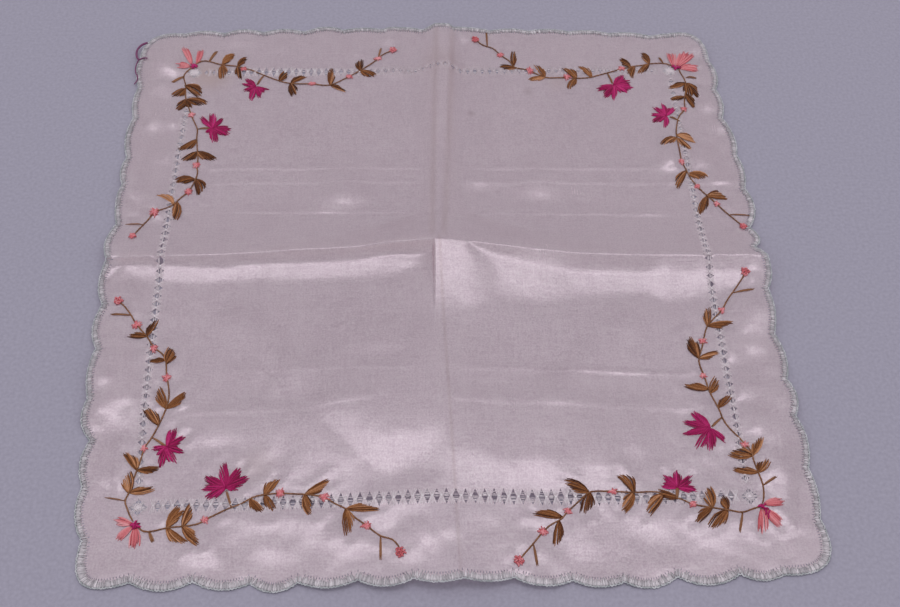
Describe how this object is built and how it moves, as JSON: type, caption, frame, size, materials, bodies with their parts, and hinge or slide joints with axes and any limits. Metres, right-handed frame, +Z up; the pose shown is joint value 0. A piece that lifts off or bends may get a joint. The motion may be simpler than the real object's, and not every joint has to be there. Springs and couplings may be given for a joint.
{
  "type": "embroidered silk handkerchief",
  "caption": "Square silk handkerchief laid flat, with a scalloped stitched edge, an openwork frame, corner sprays and raised creases.",
  "frame": {"origin": "middle of the box of the laid-out handkerchief, on the surface that it rests on", "axes": "+Z up out of the surface, +X to the right along the ridge of the cross crease, +Y away from the viewer along the spine"},
  "size_m": [0.2982, 0.3106, 0.0141],
  "materials": {
    "silk": "pale pinkish ivory satin-faced silk, soft sheen",
    "edge_thread": "pale aqua cotton buttonhole stitches",
    "stem_thread": "brown silk floss, stem stitch",
    "leaf_thread": "olive brown silk floss, satin stitch",
    "magenta_thread": "magenta silk floss, straight stitch",
    "coral_thread": "salmon pink silk floss, straight stitch and knots",
    "purple_thread": "purple sewing cotton, loose end"
  },
  "bodies": {
    "root": {"cloth": "silk"}
  },
  "joints": []
}
